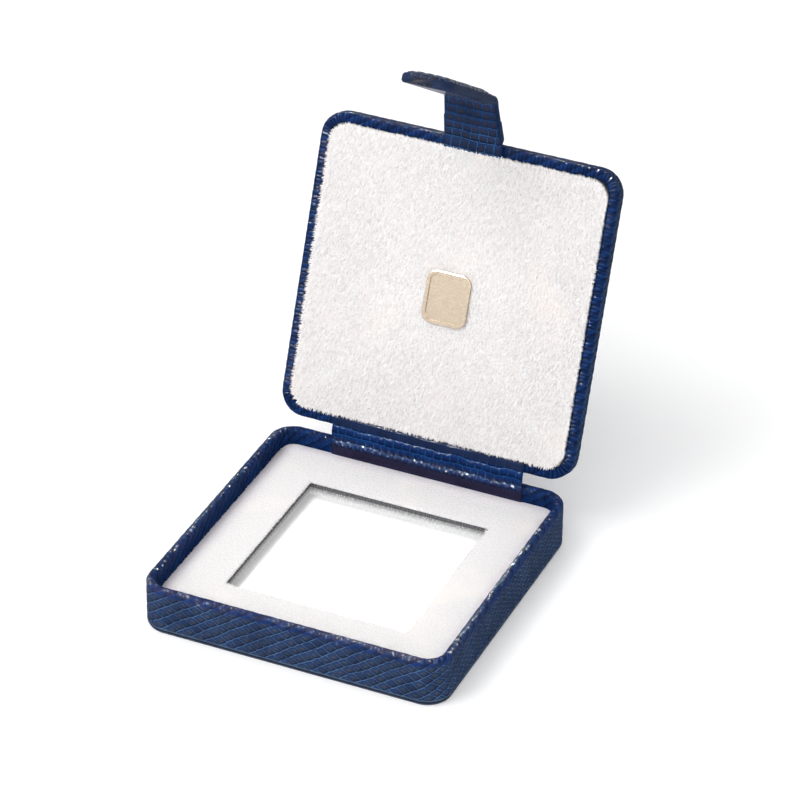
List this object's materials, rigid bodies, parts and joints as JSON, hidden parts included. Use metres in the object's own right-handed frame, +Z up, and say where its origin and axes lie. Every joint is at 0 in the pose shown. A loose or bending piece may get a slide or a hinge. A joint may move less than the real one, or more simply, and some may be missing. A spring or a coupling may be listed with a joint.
{
  "type": "jewellery case",
  "caption": "Square leather-covered jewellery case with a hinged padded lid, a suede mat round a shallow well, and a bending magnetic closing tab.",
  "frame": {"origin": "middle of the face that the base stands on", "axes": "+Z up, X along the hinge, -Y the front, where the closing tab comes down; the lid stands open at rest"},
  "size_m": [0.098, 0.135, 0.1519],
  "materials": {
    "navy_leather": "glossy, embossed with small square scales",
    "plain_leather": "smooth, semi-gloss",
    "board": "matt wood-fibre board",
    "foam": "soft foam",
    "white_suede": "short brushed pile",
    "white_lining": "smooth satin-white card",
    "pale_gold": "satin plated metal",
    "steel": "bare steel",
    "magnet_metal": "nickel plated"
  },
  "bodies": {
    "base": {"base_wall_frame": "board", "base_leather_wrap": "navy_leather", "base_floor_board": "board", "base_bottom_card": "board", "base_bottom_leather": "plain_leather", "keeper_plate": "steel", "well_spacer": "foam", "well_lining": "white_lining", "mat_board": "board", "mat_suede": "white_suede", "hinge_base_leaf": "navy_leather", "hinge_flex_face": "navy_leather", "hinge_flex_lining": "plain_leather"},
    "lid": {"lid_board": "board", "lid_rim_frame": "board", "lid_leather_wrap": "navy_leather", "pad_card": "board", "pad_foam": "foam", "pad_suede": "white_suede", "badge_plate": "pale_gold", "badge_posts": "pale_gold", "badge_push_nuts": "steel", "hinge_lid_leaf": "navy_leather", "tab_root_leaf": "navy_leather", "tab_root_flex": "navy_leather"},
    "tab": {"tab_front_leather": "navy_leather", "tab_stiffener": "board", "tab_back_leather": "navy_leather", "tab_fold_flex": "navy_leather"},
    "tab_tip": {"tip_inner_leather": "navy_leather", "tip_core": "foam", "tip_outer_leather": "navy_leather", "tip_magnet": "magnet_metal"}
  },
  "joints": [
    {"name": "lid_hinge", "type": "hinge", "parent": "base", "child": "lid", "pos_m": [0, 0.04845, 0.01916], "axis": [-1, 0, 0], "range_deg": [-110.6, 12], "deforming": ["hinge_flex_face", "hinge_flex_lining"]},
    {"name": "tab_root_bend", "type": "hinge", "parent": "lid", "child": "tab", "pos_m": [0, 0.07931, 0.11167], "axis": [1, 0, 0], "range_deg": [-42, 57.4], "stiffness_Nm_per_rad": 0.02, "deforming": ["tab_root_flex"]},
    {"name": "tab_fold_bend", "type": "hinge", "parent": "tab", "child": "tab_tip", "pos_m": [0, 0.07609, 0.12683], "axis": [1, 0, 0], "range_deg": [-46, 44], "stiffness_Nm_per_rad": 0.015, "deforming": ["tab_fold_flex"]}
  ]
}
